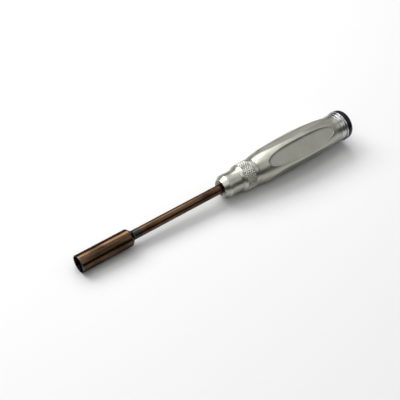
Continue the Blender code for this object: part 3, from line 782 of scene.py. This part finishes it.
def thread(front, length, radius):
    """A screw thread: the radius falls by a triangle wave of station plus share of a turn."""
    along = np.linspace(0, length, round(length / THREAD_PITCH * THREAD_STEPS))[:, None]
    turn = np.arange(CHUCK_SIDES)[None, :] / CHUCK_SIDES
    wave = np.abs((along / THREAD_PITCH + turn) % 1 * 2 - 1)
    ends = np.clip(np.minimum(along, length - along) / THREAD_FADE, 0, 1)
    return carried(front + along, radius - THREAD_DEPTH * wave * ends, sides=CHUCK_SIDES)


def chuck_body():
    """Outline from the hex bore forward through the collet's well, over thread and flange to the stem."""
    front, end, outer = span("chuck_body")
    flange_front = span("nose_collar")[1] + COLLAR_CLEAR
    flange_end = span("flange_seal")[0] + SEAL_NIP
    shank_end = span("shaft_rod")[1] + SHAFT_GAP
    well_end = span("collet")[1] + SHAFT_GAP
    bolt_front = span("chuck_bolt")[0] - SHAFT_GAP
    bore = hexagon(SHANK_BORE_AF, CHUCK_SIDES)
    thread_front = front + THREAD_LEAD
    thread_end = flange_front - THREAD_RUN_OUT
    inlet = eased([
        (well_end, bore.max(), 0), (well_end, COLLET_WELL_R, CRISP), (front, COLLET_WELL_R, BROKEN),
        (front, SPIGOT_R - SPIGOT_BEVEL, BROKEN), (thread_front, SPIGOT_R, CRISP),
    ])
    flange = eased([
        (thread_end, SPIGOT_R, 0), (flange_front, SPIGOT_R, BLUNT), (flange_front, outer, BLUNT),
        (flange_end, outer, BLUNT), (flange_end, SPIGOT_R, BROKEN), (end, SPIGOT_R, ROUND),
        (end, BOLT_HOLE_R, BROKEN), (bolt_front, BOLT_HOLE_R, BROKEN), (bolt_front, 0, 0),
    ])
    grid = joined(
        carried(shank_end, np.zeros(1), sides=CHUCK_SIDES),
        carried(np.array([shank_end, well_end]), bore[None, :], sides=CHUCK_SIDES),
        carried(*inlet, sides=CHUCK_SIDES), thread(thread_front, thread_end - thread_front, SPIGOT_R),
        carried(*flange, sides=CHUCK_SIDES),
    )
    finish = shaded(
        "flange_satin", satin_colour(FLANGE_GREY), satin_roughness, ring_height, TURNED_DEPTH,
        Specular_Tint=SATIN_RIM,
    )
    dress("chuck", [grid], finish, "handle", "chuck_body")


chuck_body()
coat(bright_steel, "chuck_dowel_left", "chuck_dowel_right")


# Flange seal and the two O-rings: moulded black rubber. The seal is squeezed between flange and grip, one
# ring steadies the collar on its spigot, and the other holds the end plug.

SEAL_BULGE = 0.3
O_RING_SECTION = 1.2
O_RING_POINTS = 24
RUBBER_BLACK = (0.03, 0.03, 0.027)
RUBBER_DUSTY = (0.09, 0.088, 0.078)
RUBBER_CLOUDS = 500.0
MATT_SPOTS = 800.0
MATT_RANGE = (0.5, 0.68)
MOULDED_DEPTH = 0.01


def moulded_height(tree):
    """Fine moulded grain."""
    return placed(tree, handling)["Fleck"]


black_rubber = shaded(
    "black_rubber", clouded(RUBBER_CLOUDS, RUBBER_BLACK, RUBBER_DUSTY), dulled(MATT_SPOTS, *MATT_RANGE),
    moulded_height, MOULDED_DEPTH, metallic=0.0,
)


def flange_seal():
    """A flat ring with eased edges, as wide as the space between flange and grip."""
    front, end, outer = span("flange_seal")
    front, end, outer = front + SEAL_NIP, end - SEAL_NIP, outer + SEAL_BULGE
    outline = eased([
        ((front + end) / 2, THREAD_BORE_R, 0), (front, THREAD_BORE_R, BROKEN), (front, outer, SOFT),
        (end, outer, SOFT), (end, THREAD_BORE_R, BROKEN),
    ])
    dress("seal", [carried(*outline, closed=True)], black_rubber, "handle", "flange_seal")


def o_ring(name, node):
    """A torus: a circle of the ring's section carried round the axis."""
    front, end, outer = span(node)
    angle = np.linspace(0, math.tau, O_RING_POINTS, endpoint=False)
    section_r = O_RING_SECTION / 2
    station = (front + end) / 2 + section_r * np.cos(angle)
    radius = outer - section_r + section_r * np.sin(angle)
    dress(name, [carried(station, radius, closed=True)], black_rubber, "handle", node)


flange_seal()
o_ring("collar_ring", "collar_o_ring")
o_ring("plug_ring", "plug_o_ring")


# Chuck bolt and its washers: a black socket-head screw through the grip's web draws the chuck body in, on
# a plain and a split washer. They are shut inside the grip, so their solids are kept.

OXIDE_BLACK = (0.025, 0.025, 0.028)
OXIDE_GREY = (0.07, 0.07, 0.075)
OXIDE_CLOUDS = 400.0

black_oxide = shaded(
    "black_oxide", clouded(OXIDE_CLOUDS, OXIDE_BLACK, OXIDE_GREY), dulled(ROUGH_SPOTS, *ROUGH_RANGE),
    ring_height, TURNED_DEPTH,
)
coat(black_oxide, "chuck_bolt")
coat(bright_steel, "bolt_plain_washer", "bolt_spring_washer")


# Grip shell: a turned aluminium barrel, satin and olive like the collar. Five oval pockets are milled
# into it, a fifth of a turn apart, with flat floors, wide coves round them and rims broken by hand.

SHOULDER_LENGTH = 10.5
SHOULDER_RISE = 1.65
SHOULDER_START_SLOPE = 0.27
SHOULDER_END_SLOPE = 0.075
BELLY_FRONT = 26.3
BELLY_REAR = 29.5
GRIP_FRONT_R = 9.125
NECK_R = 9.445
NECK_SLOPE = -0.18
GRIP_END_R = 9.495
GRIP_END_EDGE = 0.25
POCKETS = 5
POCKET_LENGTH = 55.5
POCKET_WIDTH = 11.5
POCKET_FULLNESS = 2.5
POCKET_SETBACK = 7.3
POCKET_END_DEPTH = 0.35
POCKET_MARGIN = 2.0
POCKET_COVE = 2.2
COVE_SHARE = 0.8
COVE_PAINTED_SHADE = 0.3
POCKET_RIM = 0.3
RIM_WEAR = 0.5
POCKET_FLOOR_ZONE = 1.0
POCKET_FLOOR_LOOPS = (0.0, 0.3, 0.6, 0.85, 0.97)
WALL_STEPS = 9
SKIN_STEPS = 9
SKIN_SPREAD = 1.4
END_STEPS = 12
SIDE_STEPS = 96
OVAL_STEPS = 4 * END_STEPS + 2 * SIDE_STEPS
FORE_POINTS = 12
REAR_POINTS = 14
REAR_BORE_R = 7.0
GRIP_WEB = 4.0

grip_front, grip_end, belly_r = span("grip_shell")
grip_face = span("flange_seal")[1] - SEAL_NIP
shoulder_end = grip_front + SHOULDER_LENGTH
belly_at = shoulder_end + BELLY_FRONT
neck_at = belly_at + BELLY_REAR


def cubic(station, start, end, start_slope, end_slope):
    """Cubic through two (station, radius) ends with the given slopes there."""
    (x0, r0), (x1, r1) = start, end
    run = x1 - x0
    u = (station - x0) / run
    near = 2 * u**3 - 3 * u**2 + 1
    pull = (u**3 - 2 * u**2 + u) * start_slope + (u**3 - u**2) * end_slope
    return near * r0 + (1 - near) * r1 + pull * run


def grip_radius(station):
    """Radius of the uncut barrel: shoulder, front and rear cubics that meet smoothly, then the neck."""
    shoulder = (shoulder_end, GRIP_FRONT_R + SHOULDER_RISE)
    belly = (belly_at, belly_r)
    neck = (neck_at, NECK_R)
    return np.select(
        [station < shoulder_end, station < belly_at, station < neck_at],
        [
            cubic(station, (grip_front, GRIP_FRONT_R), shoulder, SHOULDER_START_SLOPE, SHOULDER_END_SLOPE),
            cubic(station, shoulder, belly, SHOULDER_END_SLOPE, 0.0),
            cubic(station, belly, neck, 0.0, NECK_SLOPE),
        ],
        NECK_R + (GRIP_END_R - NECK_R) * (station - neck_at) / (grip_end - neck_at),
    )


def oval(theta, inset=0.0):
    """Superellipse |x/a|^n + |y/b|^n = 1 of a pocket at angles theta, moved in along its own normal.

    A column of insets gives one ring for each.
    """
    half = np.array([POCKET_LENGTH, POCKET_WIDTH]) / 2
    way = np.stack([np.cos(theta), np.sin(theta)], axis=-1)
    point = np.sign(way) * np.abs(way) ** (2 / POCKET_FULLNESS) * half
    normal = np.sign(way) * np.abs(point / half) ** (POCKET_FULLNESS - 1) / half
    normal = normal / np.linalg.norm(normal, axis=-1, keepdims=True)
    return point - np.expand_dims(inset, -1) * normal


def pocket_grid(centre, floor_r):
    """One pocket and the skin round it, as rings of stations, radii, marks and angles from its middle.

    Rings go out over the flat floor, up a quarter-ellipse cove to the outline and over a quarter-ellipse
    rim on to the barrel. Cove and rim share the wall's height, which changes along the outline. Then the
    rings blend evenly to the edges of the pocket's own fifth of the barrel.
    """
    theta = np.arange(OVAL_STEPS) * math.tau / OVAL_STEPS
    quarter = np.linspace(0, math.pi / 2, WALL_STEPS)[:, None]
    flat = np.array(POCKET_FLOOR_LOOPS)[:, None, None] * oval(theta, POCKET_COVE)
    cove = oval(theta, POCKET_COVE * (1 - np.sin(quarter)))
    rim = oval(theta, POCKET_RIM * (np.cos(quarter) - 1))
    plan = np.concatenate([flat, cove, rim])
    station, across = centre + plan[..., 0], plan[..., 1]
    skin_height = np.sqrt(grip_radius(station) ** 2 - across**2)
    height = np.full(station.shape, floor_r)
    wall, edge = len(flat), len(flat) + len(cove)
    depth = skin_height[edge] - floor_r
    height[wall:edge] += COVE_SHARE * depth * (1 - np.cos(quarter))
    height[edge:] = skin_height[edge:] - (1 - COVE_SHARE) * depth * (1 - np.sin(quarter))
    radius, angle = np.hypot(height, across), np.arctan2(across, height)
    corner = np.zeros(station.shape)
    # Painted shade: the cove is marked as an inner corner, so it darkens all round the pocket.
    corner[wall:edge] = -COVE_PAINTED_SHADE * np.sin(2 * quarter)
    corner[edge:] = RIM_WEAR * np.sin(2 * quarter)
    zone = np.zeros(station.shape)
    zone[:edge] = POCKET_FLOOR_ZONE
    reach = np.clip(oval(theta) / oval(theta[[END_STEPS]]), -1, 1)
    box_station = centre + (POCKET_LENGTH / 2 + POCKET_MARGIN) * reach[:, 0]
    box_angle = math.pi / POCKETS * reach[:, 1]
    share = np.linspace(0, 1, SKIN_STEPS + 1)[1:, None] ** SKIN_SPREAD
    skin_station = station[-1] + (box_station - station[-1]) * share
    skin_angle = angle[-1] + (box_angle - angle[-1]) * share
    plain = np.zeros(skin_station.shape)
    pocket = (station, radius, corner, zone, angle)
    skin = (skin_station, grip_radius(skin_station), plain, plain, skin_angle)
    return [np.concatenate(pair) for pair in zip(pocket, skin)]


def grip_shell():
    """Five pocket grids round the barrel, and one turned band that runs over both ends and the bores."""
    centre = grip_front + POCKET_SETBACK + POCKET_LENGTH / 2
    ends = centre + np.array([-1, 1]) * POCKET_LENGTH / 2
    floor_r = grip_radius(ends).min() - POCKET_END_DEPTH
    *pocket, angle = pocket_grid(centre, floor_r)
    middles = math.pi + np.arange(POCKETS) * math.tau / POCKETS
    patches = [carried(*pocket, angles=angle + middle) for middle in middles]
    theta = np.arange(-END_STEPS, END_STEPS) * math.tau / OVAL_STEPS
    lean = oval(theta)[:, 1] / oval(-theta[:1])[0, 1]
    band_angles = np.add.outer(middles, math.pi / POCKETS * lean).ravel()
    reach = POCKET_LENGTH / 2 + POCKET_MARGIN
    rear = np.linspace(centre + reach, grip_end, REAR_POINTS)
    fore = np.linspace(grip_face, centre - reach, FORE_POINTS)
    web_end = span("bolt_plain_washer")[0] - SHAFT_GAP
    web_front = web_end - GRIP_WEB
    outline = [(x, grip_radius(x), 0) for x in rear[:-1]]
    outline += [
        (grip_end, GRIP_END_R, GRIP_END_EDGE), (grip_end, REAR_BORE_R, SOFT),
        (web_end, REAR_BORE_R, ROUND), (web_end, BOLT_HOLE_R, BROKEN), (web_front, BOLT_HOLE_R, BROKEN),
        (web_front, THREAD_BORE_R, ROUND), (grip_face, THREAD_BORE_R, SOFT),
        (grip_face, grip_radius(grip_face), BLUNT),
    ]
    outline += [(x, grip_radius(x), 0) for x in fore[1:]]
    patches.append(carried(*eased(outline), angles=band_angles))
    dress("grip", patches, satin_aluminium, "handle", "grip_shell")


grip_shell()


# End plug: bright fine-turned aluminium, screwed into the grip's rear. Its land has one shallow groove,
# and the narrow ring behind it stands a little proud.

PLUG_GREY = (0.506, 0.497, 0.506)
PLUG_PALE = (0.621, 0.611, 0.621)
PLUG_RIM = (0.25, 0.25, 0.25, 1.0)
PLUG_BANDS = (0.25, 0.75)
PLUG_ROUGHNESS = (0.22, 0.34)
LAND_RISE = 0.12
PLUG_GAP = 0.06
LAND_GROOVE_SETBACK = 1.8
LAND_GROOVE_WIDTH = 0.5
LAND_GROOVE_DEPTH = 0.15
LAND_GROOVE_EDGE = 0.06
LAND_GROOVE_FOOT = 0.08
PLUG_RING_WIDTH = 0.9
PLUG_R = 6.7
O_RING_SEAT_R = 5.2
SCREW_HOLE_R = 1.8
SMOOTH_SIDES = 144


def plug_colour(tree):
    """Bright metal, ringed by the tool, with painted shade in inner corners."""
    ringed = blended(tree, placed(tree, turning_rings)["Band"], PLUG_GREY, PLUG_PALE)
    return blended(tree, placed(tree, corner_wear_and_shade)["PaintedShade"], ringed, SATIN_PAINTED_SHADE)


def plug_roughness(tree):
    """Nearly polished, changing from ring to ring."""
    return between(tree, placed(tree, turning_rings)["Band"], *PLUG_BANDS, *PLUG_ROUGHNESS)


def end_plug():
    """Outline along the threaded plug, over the grooved land and the ring, then into the screw hole."""
    front, end, ring_r = span("end_plug")
    land_front = grip_end + PLUG_GAP
    land_r = GRIP_END_R + LAND_RISE
    groove = land_front + LAND_GROOVE_SETBACK
    ring_front = end - PLUG_RING_WIDTH
    seat_front = span("plug_o_ring")[0] - SHAFT_GAP
    seat_end = span("plug_o_ring")[1] + SHAFT_GAP
    hole_end = span("cap_pivot_screw")[0] - SHAFT_GAP
    outline = eased([
        (front, 0, 0), (front, PLUG_R, ROUND), (seat_front, PLUG_R, BROKEN),
        (seat_front, O_RING_SEAT_R, BROKEN), (seat_end, O_RING_SEAT_R, BROKEN), (seat_end, PLUG_R, BROKEN),
        (land_front, PLUG_R, CRISP), (land_front, land_r, BLUNT), (groove, land_r, LAND_GROOVE_EDGE),
        (groove + LAND_GROOVE_WIDTH / 2, land_r - LAND_GROOVE_DEPTH, LAND_GROOVE_FOOT),
        (groove + LAND_GROOVE_WIDTH, land_r, LAND_GROOVE_EDGE), (ring_front, land_r, BROKEN),
        (ring_front, ring_r, SOFT), (end, ring_r, SOFT), (end, SCREW_HOLE_R, BROKEN),
        (hole_end, SCREW_HOLE_R, BROKEN), (hole_end, 0, 0),
    ])
    finish = shaded(
        "bright_aluminium", plug_colour, plug_roughness, ring_height, TURNED_DEPTH, Specular_Tint=PLUG_RIM
    )
    grid = carried(*outline, sides=SMOOTH_SIDES)
    dress("plug", [grid], finish, "handle", "end_plug")


end_plug()


# Thrust washer and pivot screw: the cap turns on a bright shoulder screw, against a nylon washer that is
# shut in between cap and plug.

NYLON_WHITE = (0.72, 0.71, 0.67)
NYLON_CREAM = (0.62, 0.6, 0.54)
NYLON_CLOUDS = 300.0
SCREW_TIP_R = 1.5
SCREW_SHOULDER_R = 1.8
SCREW_HEAD = 1.3
HEAD_EDGE = 0.35
KEY_AF = 2.0
KEY_DEPTH = 0.8
KEY_FLARE = 0.15
KEY_FLARE_DEPTH = 0.1
KEY_LEAD = 0.15
KEY_POINT = 0.3


def pivot_screw():
    """Outline from the tip over shoulder and head to the rim of the hex key's recess, then its floor."""
    front, end, head_r = span("cap_pivot_screw")
    shoulder = span("cap_thrust_washer")[0]
    head = end - SCREW_HEAD
    key = hexagon(KEY_AF)
    key_end = end - KEY_DEPTH
    outside = eased([
        (front, 0, 0), (front, SCREW_TIP_R, ROUND), (shoulder, SCREW_TIP_R, CRISP),
        (shoulder, SCREW_SHOULDER_R, BROKEN), (head, SCREW_SHOULDER_R, BROKEN), (head, head_r, BROKEN),
        (end, head_r, HEAD_EDGE), (end, key.max() + KEY_FLARE, BROKEN),
        (end - KEY_FLARE_DEPTH, key.max(), 0),
    ])
    grid = joined(
        carried(*outside), carried(np.array([end - KEY_LEAD, key_end]), key[None, :]),
        carried(key_end - KEY_POINT, np.zeros(1)),
    )
    dress("pivot_screw", [grid], bright_steel, "handle", "cap_pivot_screw")


white_nylon = shaded(
    "white_nylon", clouded(NYLON_CLOUDS, NYLON_WHITE, NYLON_CREAM), dulled(MATT_SPOTS, *MATT_RANGE),
    moulded_height, MOULDED_DEPTH, metallic=0.0,
)
coat(white_nylon, "cap_thrust_washer")
pivot_screw()


# End cap: black glossy plastic, moulded with a rounded crown. It spins on its screw, whose head lies in a
# well in the middle of its flat end.

CAP_BLACK = (0.0025, 0.0025, 0.0025)
CAP_DUST = (0.006, 0.006, 0.006)
CAP_CLOUDS = 350.0
CAP_PALMED = 160.0
CAP_ROUGHNESS = (0.2, 0.34)
CAP_GLOSS = 0.2
CAP_DEPTH = 0.003
CAP_EDGE = 0.25
CAP_CROWN = 2.8
CAP_CROWN_DROP = 1.8
CROWN_POINTS = 16
CAP_WEB = 1.2
HEAD_WELL_R = 3.9
WASHER_WELL_R = 5.3
WASHER_WELL = 0.9
CAP_HOLE_R = 2.1


def end_cap():
    """A straight skirt, a quarter-ellipse crown, the flat end and the wells on either side of the web."""
    front, end, outer = span("end_cap")
    quarter = np.linspace(0, math.pi / 2, CROWN_POINTS)
    crown_x = end - CAP_CROWN * (1 - np.sin(quarter))
    crown_r = outer - CAP_CROWN_DROP * (1 - np.cos(quarter))
    web_front = front + WASHER_WELL
    web_end = web_front + CAP_WEB
    outline = [
        ((front + web_front) / 2, WASHER_WELL_R, 0), (front, WASHER_WELL_R, BROKEN),
        (front, outer, CAP_EDGE),
    ]
    outline += [(x, r, 0) for x, r in zip(crown_x, crown_r)]
    outline += [
        (end, HEAD_WELL_R, CAP_EDGE), (web_end, HEAD_WELL_R, BROKEN), (web_end, CAP_HOLE_R, BROKEN),
        (web_front, CAP_HOLE_R, BROKEN), (web_front, WASHER_WELL_R, BROKEN),
    ]
    finish = shaded(
        "black_plastic", clouded(CAP_CLOUDS, CAP_BLACK, CAP_DUST), dulled(CAP_PALMED, *CAP_ROUGHNESS),
        moulded_height, CAP_DEPTH, metallic=0.0, Specular_IOR_Level=CAP_GLOSS,
    )
    grid = carried(*eased(outline), sides=SMOOTH_SIDES, closed=True)
    dress("cap", [grid], finish, "cap", "end_cap")


end_cap()


# Studio: a pale floor that the tool lies on, nose down, touching it under the socket and in front of the
# lowest pocket. Three strong soft boxes stand behind and above it, and five weaker ones round it light
# the rest of a dim room.

FLOOR_SIZE = 14.0
FLOOR_POINTS = 9
FLOOR_WHITE = (0.73, 0.73, 0.73)
FLOOR_MOTTLE = 0.99
FLOOR_CLOUDS = 3.0
FLOOR_SPOTS = 5.0
FLOOR_ROUGHNESS = (0.9, 1.0)
FLOOR_DEPTH = 0.01
ROOM_WHITE = (1.0, 1.0, 1.0, 1.0)
ROOM_LEVEL = 0.035
LAMP_AIM = Vector((0.0, 0.0, 0.01))
# Each soft box's name, its place and size in metres, and its level.
LAMPS = (
    ("key_lamp", (-0.36, 0.83, 0.86), (0.7, 0.7), 7.3),
    ("nose_lamp", (-0.62, -0.1, 0.9), (0.9, 0.4), 2.25),
    ("crown_lamp", (-0.06, 0.34, 1.12), (0.45, 0.5), 3.3),
    ("side_lamp", (0.27, 0.86, 0.88), (0.62, 0.62), 5.0),
    ("top_lamp", (0.48, 0.22, 1.1), (0.7, 1.2), 1.1),
    ("fill_lamp", (0.34, -0.6, 0.95), (1.0, 0.78), 0.88),
    ("rear_lamp", (1.0, -0.25, 0.6), (1.1, 0.7), 0.43),
    ("corner_lamp", (0.96, 0.64, 0.38), (0.5, 0.5), 0.7),
)
socket_r = span("socket_barrel")[2]
grip_touch = grip_front + POCKET_SETBACK - POCKET_RIM
touch_front = Vector((mouth_x + MOUTH_EDGE * MM, 0.0, axis_z - socket_r * MM))
touch_rear = Vector((mouth_x + grip_touch * MM, 0.0, axis_z - float(grip_radius(grip_touch)) * MM))


def floor_colour(tree):
    """Paper white with a trace of mottling."""
    mottled = tuple(FLOOR_MOTTLE * c for c in FLOOR_WHITE)
    return blended(tree, noise(tree, FLOOR_CLOUDS), FLOOR_WHITE, mottled)


def floor_roughness(tree):
    """Matt."""
    return between(tree, noise(tree, FLOOR_SPOTS), 0, 1, *FLOOR_ROUGHNESS)


def floor():
    """A square plane through the two places where the tool touches it."""
    slope = (touch_rear.z - touch_front.z) / (touch_rear.x - touch_front.x)
    grid = np.linspace(-FLOOR_SIZE / 2, FLOOR_SIZE / 2, FLOOR_POINTS)
    x, y = (axis.ravel() for axis in np.meshgrid(grid, grid))
    z = touch_rear.z + slope * (x - touch_rear.x)
    index = np.arange(FLOOR_POINTS**2).reshape(FLOOR_POINTS, FLOOR_POINTS)
    quads = np.stack([index[:-1, :-1], index[:-1, 1:], index[1:, 1:], index[1:, :-1]], axis=-1)
    mesh = bpy.data.meshes.new("floor")
    mesh.from_pydata(np.stack([x, y, z], axis=-1).tolist(), [], quads.reshape(-1, 4).tolist())
    mesh.materials.append(shaded(
        "floor_paper", floor_colour, floor_roughness, floor_roughness, FLOOR_DEPTH, metallic=0.0
    ))
    sheet = bpy.data.objects.new("floor", mesh)
    bpy.context.scene.collection.objects.link(sheet)


def soft_lamp(name, place, size, level):
    """A rectangular soft box that faces the tool, as bright as a white surface lit to the given level."""
    lamp = bpy.data.lights.new(name, "AREA")
    lamp.shape = "RECTANGLE"
    lamp.size, lamp.size_y = size
    lamp.energy = math.pi * size[0] * size[1] * level
    holder = bpy.data.objects.new(name, lamp)
    bpy.context.scene.collection.objects.link(holder)
    holder.location = place
    holder.rotation_mode = "QUATERNION"
    holder.rotation_quaternion = (LAMP_AIM - Vector(place)).to_track_quat("-Z", "Y")


def room_light():
    """An even grey room."""
    world = bpy.data.worlds.new("room")
    world.use_nodes = True
    bpy.context.scene.world = world
    backdrop = world.node_tree.nodes["Background"].inputs
    backdrop["Color"].default_value = ROOM_WHITE
    backdrop["Strength"].default_value = ROOM_LEVEL


floor()
for lamp_row in LAMPS:
    soft_lamp(*lamp_row)
room_light()


# Camera: the photograph's view, from above the tool's near side and leaning towards its socket, rolled so
# that the tool climbs to the right.

VIEW_HEIGHT = math.radians(56.5)
VIEW_LEAN = math.radians(26.0)
VIEW_ROLL = 0.48981
VIEW_DISTANCE = 0.52107
VIEW_ALONG = -0.0174
VIEW_ASIDE = 0.000238
LENS = 76.5
SENSOR = 36.0
NEAREST = 0.01


def photo_camera():
    """Place the camera by its direction from the tool: height round the axis, lean along it, roll."""
    across = Vector((0.0, -math.cos(VIEW_HEIGHT), math.sin(VIEW_HEIGHT)))
    along = Vector((1.0, 0.0, 0.0))
    beside = along.cross(across)
    back = math.cos(VIEW_LEAN) * across - math.sin(VIEW_LEAN) * along
    ahead = math.cos(VIEW_LEAN) * along + math.sin(VIEW_LEAN) * across
    right = math.cos(VIEW_ROLL) * ahead + math.sin(VIEW_ROLL) * beside
    up = math.sin(VIEW_ROLL) * ahead - math.cos(VIEW_ROLL) * beside
    view = bpy.data.cameras.new("photo_view")
    view.lens = LENS
    view.sensor_width = SENSOR
    view.clip_start = NEAREST
    camera = bpy.data.objects.new("photo_view", view)
    bpy.context.scene.collection.objects.link(camera)
    target = Vector((VIEW_ALONG, 0.0, axis_z)) + VIEW_ASIDE * beside
    turn = Matrix((right, up, back)).transposed()
    camera.matrix_world = Matrix.Translation(target + VIEW_DISTANCE * back) @ turn.to_4x4()
    bpy.context.scene.camera = camera


photo_camera()
bpy.context.scene.view_settings.view_transform = "Standard"
